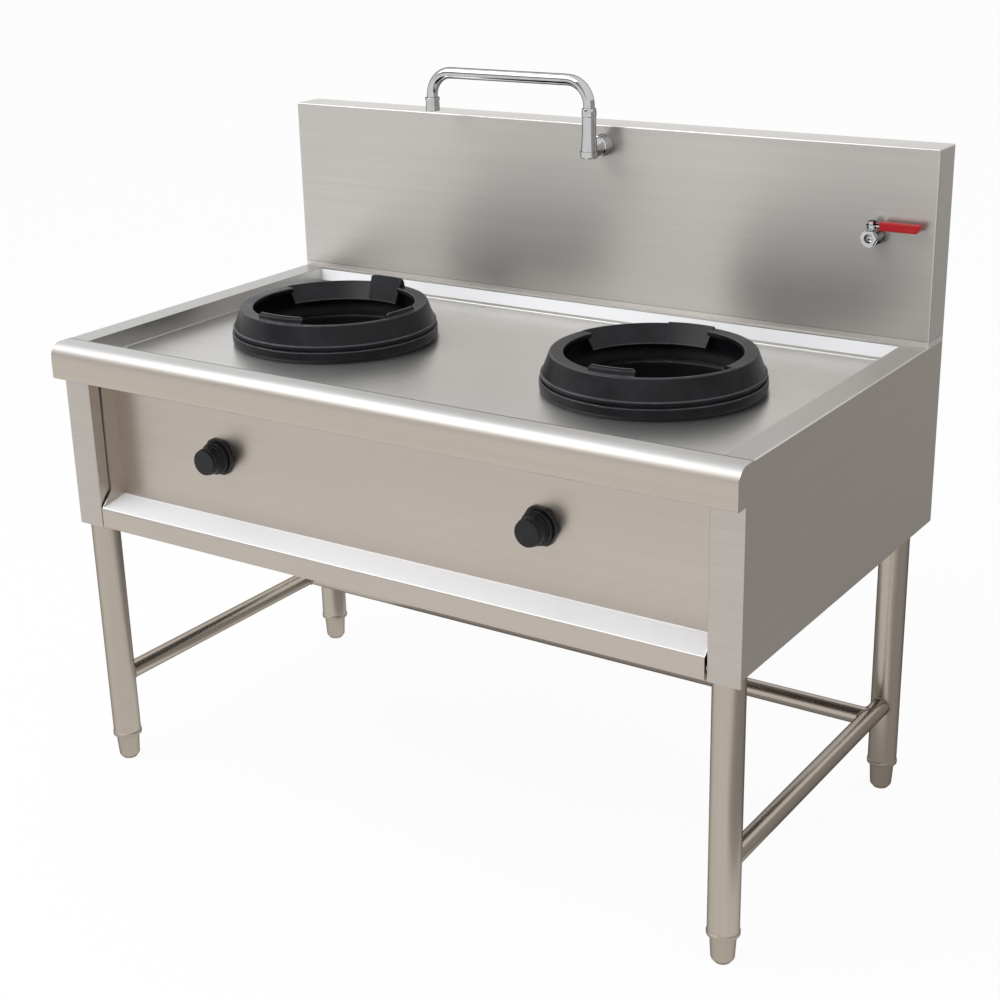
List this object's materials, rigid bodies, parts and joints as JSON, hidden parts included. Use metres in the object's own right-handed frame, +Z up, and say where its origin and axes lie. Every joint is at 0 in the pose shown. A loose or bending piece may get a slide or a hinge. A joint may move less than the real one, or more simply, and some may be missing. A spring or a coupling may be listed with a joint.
{
  "type": "double wok range",
  "caption": "Free-standing stainless wok range: sunken worktop with cast wok rings over round burners, knob panel, splashback with swing spout and lever valve, tube legs.",
  "frame": {"origin": "on the floor, in the middle of the overall width and depth", "axes": "+X to the cook's right along the width, +Y from the front edge to the splashback, +Z up"},
  "size_m": [1.3, 0.75, 1.215],
  "materials": {
    "sheet_steel": "brushed",
    "tube_steel": "satin",
    "inner_steel": "dull",
    "ring_iron": "black enamel over cast iron",
    "burner_iron": "raw casting",
    "brass": "machined",
    "knob_black": "satin black",
    "gas_pipe": "dark paint",
    "water_pipe": "satin",
    "sleeve_red": "soft vinyl",
    "chrome": "polished"
  },
  "bodies": {
    "range": {"back_screws": "inner_steel", "burner_bearer": "inner_steel", "burner_chamber_left": "inner_steel", "burner_chamber_right": "inner_steel", "burner_left": "burner_iron", "burner_right": "burner_iron", "control_panel": "sheet_steel", "cross_stretcher": "tube_steel", "foot_inserts": "inner_steel", "front_nose": "sheet_steel", "gas_manifold": "gas_pipe", "gas_valve_left": "brass", "gas_valve_right": "brass", "injector_left": "brass", "injector_right": "brass", "knob_nut_left": "knob_black", "knob_nut_right": "knob_black", "leg_front_left": "tube_steel", "leg_front_right": "tube_steel", "leg_rear_left": "tube_steel", "leg_rear_right": "tube_steel", "leg_socket_front_left": "inner_steel", "leg_socket_front_right": "inner_steel", "leg_socket_rear_left": "inner_steel", "leg_socket_rear_right": "inner_steel", "lever_valve_body": "chrome", "nose_cap_left": "sheet_steel", "nose_cap_right": "sheet_steel", "pan_stiffener": "inner_steel", "pipe_locknuts": "brass", "rear_panel": "inner_steel", "side_panel_left": "sheet_steel", "side_panel_right": "sheet_steel", "side_stretcher_left": "tube_steel", "side_stretcher_right": "tube_steel", "splash_back": "sheet_steel", "splash_skin": "sheet_steel", "swivel_nut": "chrome", "tap_body": "chrome", "tap_flange": "chrome", "water_pipe": "water_pipe", "worktop_pan": "sheet_steel"},
    "ring_left": {"wok_ring_left": "ring_iron"},
    "ring_right": {"wok_ring_right": "ring_iron"},
    "knob_left": {"knob_left": "knob_black", "valve_stem_left": "brass"},
    "knob_right": {"knob_right": "knob_black", "valve_stem_right": "brass"},
    "spout": {"spout": "chrome", "spout_outlet": "chrome"},
    "lever": {"valve_lever": "chrome", "lever_sleeve": "sleeve_red", "lever_nut": "chrome", "ball_stem": "chrome"},
    "foot_front_left": {"foot_front_left": "tube_steel"},
    "foot_front_right": {"foot_front_right": "tube_steel"},
    "foot_rear_left": {"foot_rear_left": "tube_steel"},
    "foot_rear_right": {"foot_rear_right": "tube_steel"}
  },
  "joints": [
    {"name": "ring_left_lift", "type": "slide", "parent": "range", "child": "ring_left", "axis": [0, 0, 1], "range_m": [0, 0.12]},
    {"name": "ring_right_lift", "type": "slide", "parent": "range", "child": "ring_right", "axis": [0, 0, 1], "range_m": [0, 0.12]},
    {"name": "knob_left_turn", "type": "hinge", "parent": "range", "child": "knob_left", "pos_m": [-0.352, -0.307, 0.63], "axis": [0, -1, 0], "range_deg": [0, 90]},
    {"name": "knob_right_turn", "type": "hinge", "parent": "range", "child": "knob_right", "pos_m": [0.288, -0.307, 0.63], "axis": [0, -1, 0], "range_deg": [0, 90]},
    {"name": "spout_swing", "type": "hinge", "parent": "range", "child": "spout", "pos_m": [0.038, 0.268, 1.13], "axis": [0, 0, 1], "range_deg": [0, 180]},
    {"name": "lever_turn", "type": "hinge", "parent": "range", "child": "lever", "pos_m": [0.549, 0.296, 0.98], "axis": [0, 0, -1], "range_deg": [0, 90]},
    {"name": "foot_front_left_adjust", "type": "slide", "parent": "range", "child": "foot_front_left", "axis": [0, 0, -1], "range_m": [0, 0.02]},
    {"name": "foot_front_right_adjust", "type": "slide", "parent": "range", "child": "foot_front_right", "axis": [0, 0, -1], "range_m": [0, 0.02]},
    {"name": "foot_rear_left_adjust", "type": "slide", "parent": "range", "child": "foot_rear_left", "axis": [0, 0, -1], "range_m": [0, 0.02]},
    {"name": "foot_rear_right_adjust", "type": "slide", "parent": "range", "child": "foot_rear_right", "axis": [0, 0, -1], "range_m": [0, 0.02]}
  ]
}
